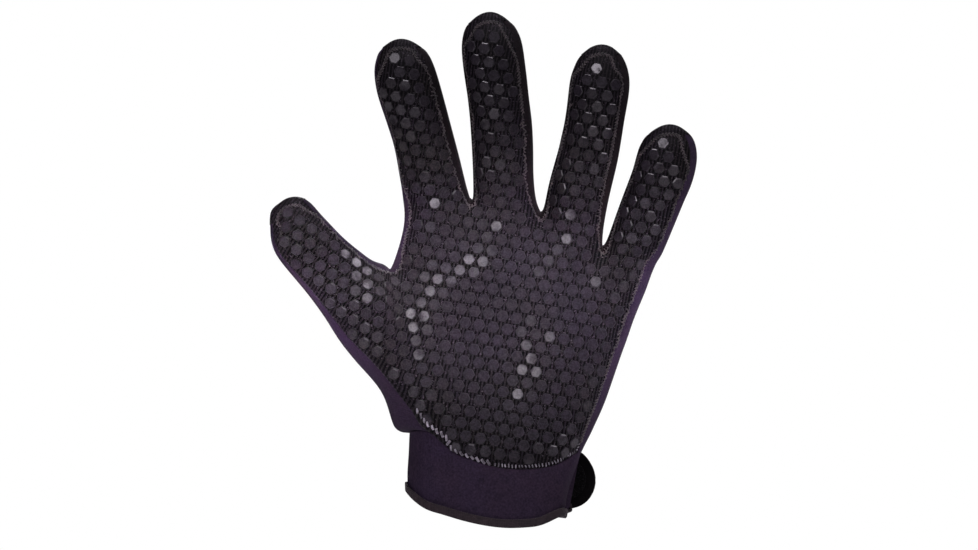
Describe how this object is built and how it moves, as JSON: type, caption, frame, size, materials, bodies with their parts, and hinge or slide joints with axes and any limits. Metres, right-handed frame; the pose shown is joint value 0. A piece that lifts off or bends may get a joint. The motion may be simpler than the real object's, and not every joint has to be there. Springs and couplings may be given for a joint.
{
  "type": "neoprene sport glove",
  "caption": "Full-finger neoprene sport glove for the left hand, with a hexagon-textured grip palm, side gussets, a bound cuff with a side slit and a closing strap.",
  "frame": {"origin": "middle of the wrist opening, at the mean height of the hem", "axes": "+X to the little-finger side, +Z to the fingertips, the palm faces -Y"},
  "size_m": [0.187, 0.05, 0.2254],
  "materials": {
    "grip_fabric": "matt rib knit with raised satin rubber hexagons",
    "neoprene": "matt jersey-faced foam",
    "stretch_fabric": "matt stretch knit",
    "binding_tape": "matt folded tape",
    "strap_fabric": "matt brushed knit",
    "hook_tape": "rough hook pile"
  },
  "bodies": {
    "root": {"palm_panel": "grip_fabric", "back_panel": "neoprene", "gusset_index_middle": "stretch_fabric", "gusset_middle_ring": "stretch_fabric", "gusset_ring_little": "stretch_fabric", "cuff": "neoprene", "cuff_binding": "binding_tape", "wrist_strap": "strap_fabric", "hook_patch": "hook_tape"}
  },
  "joints": []
}
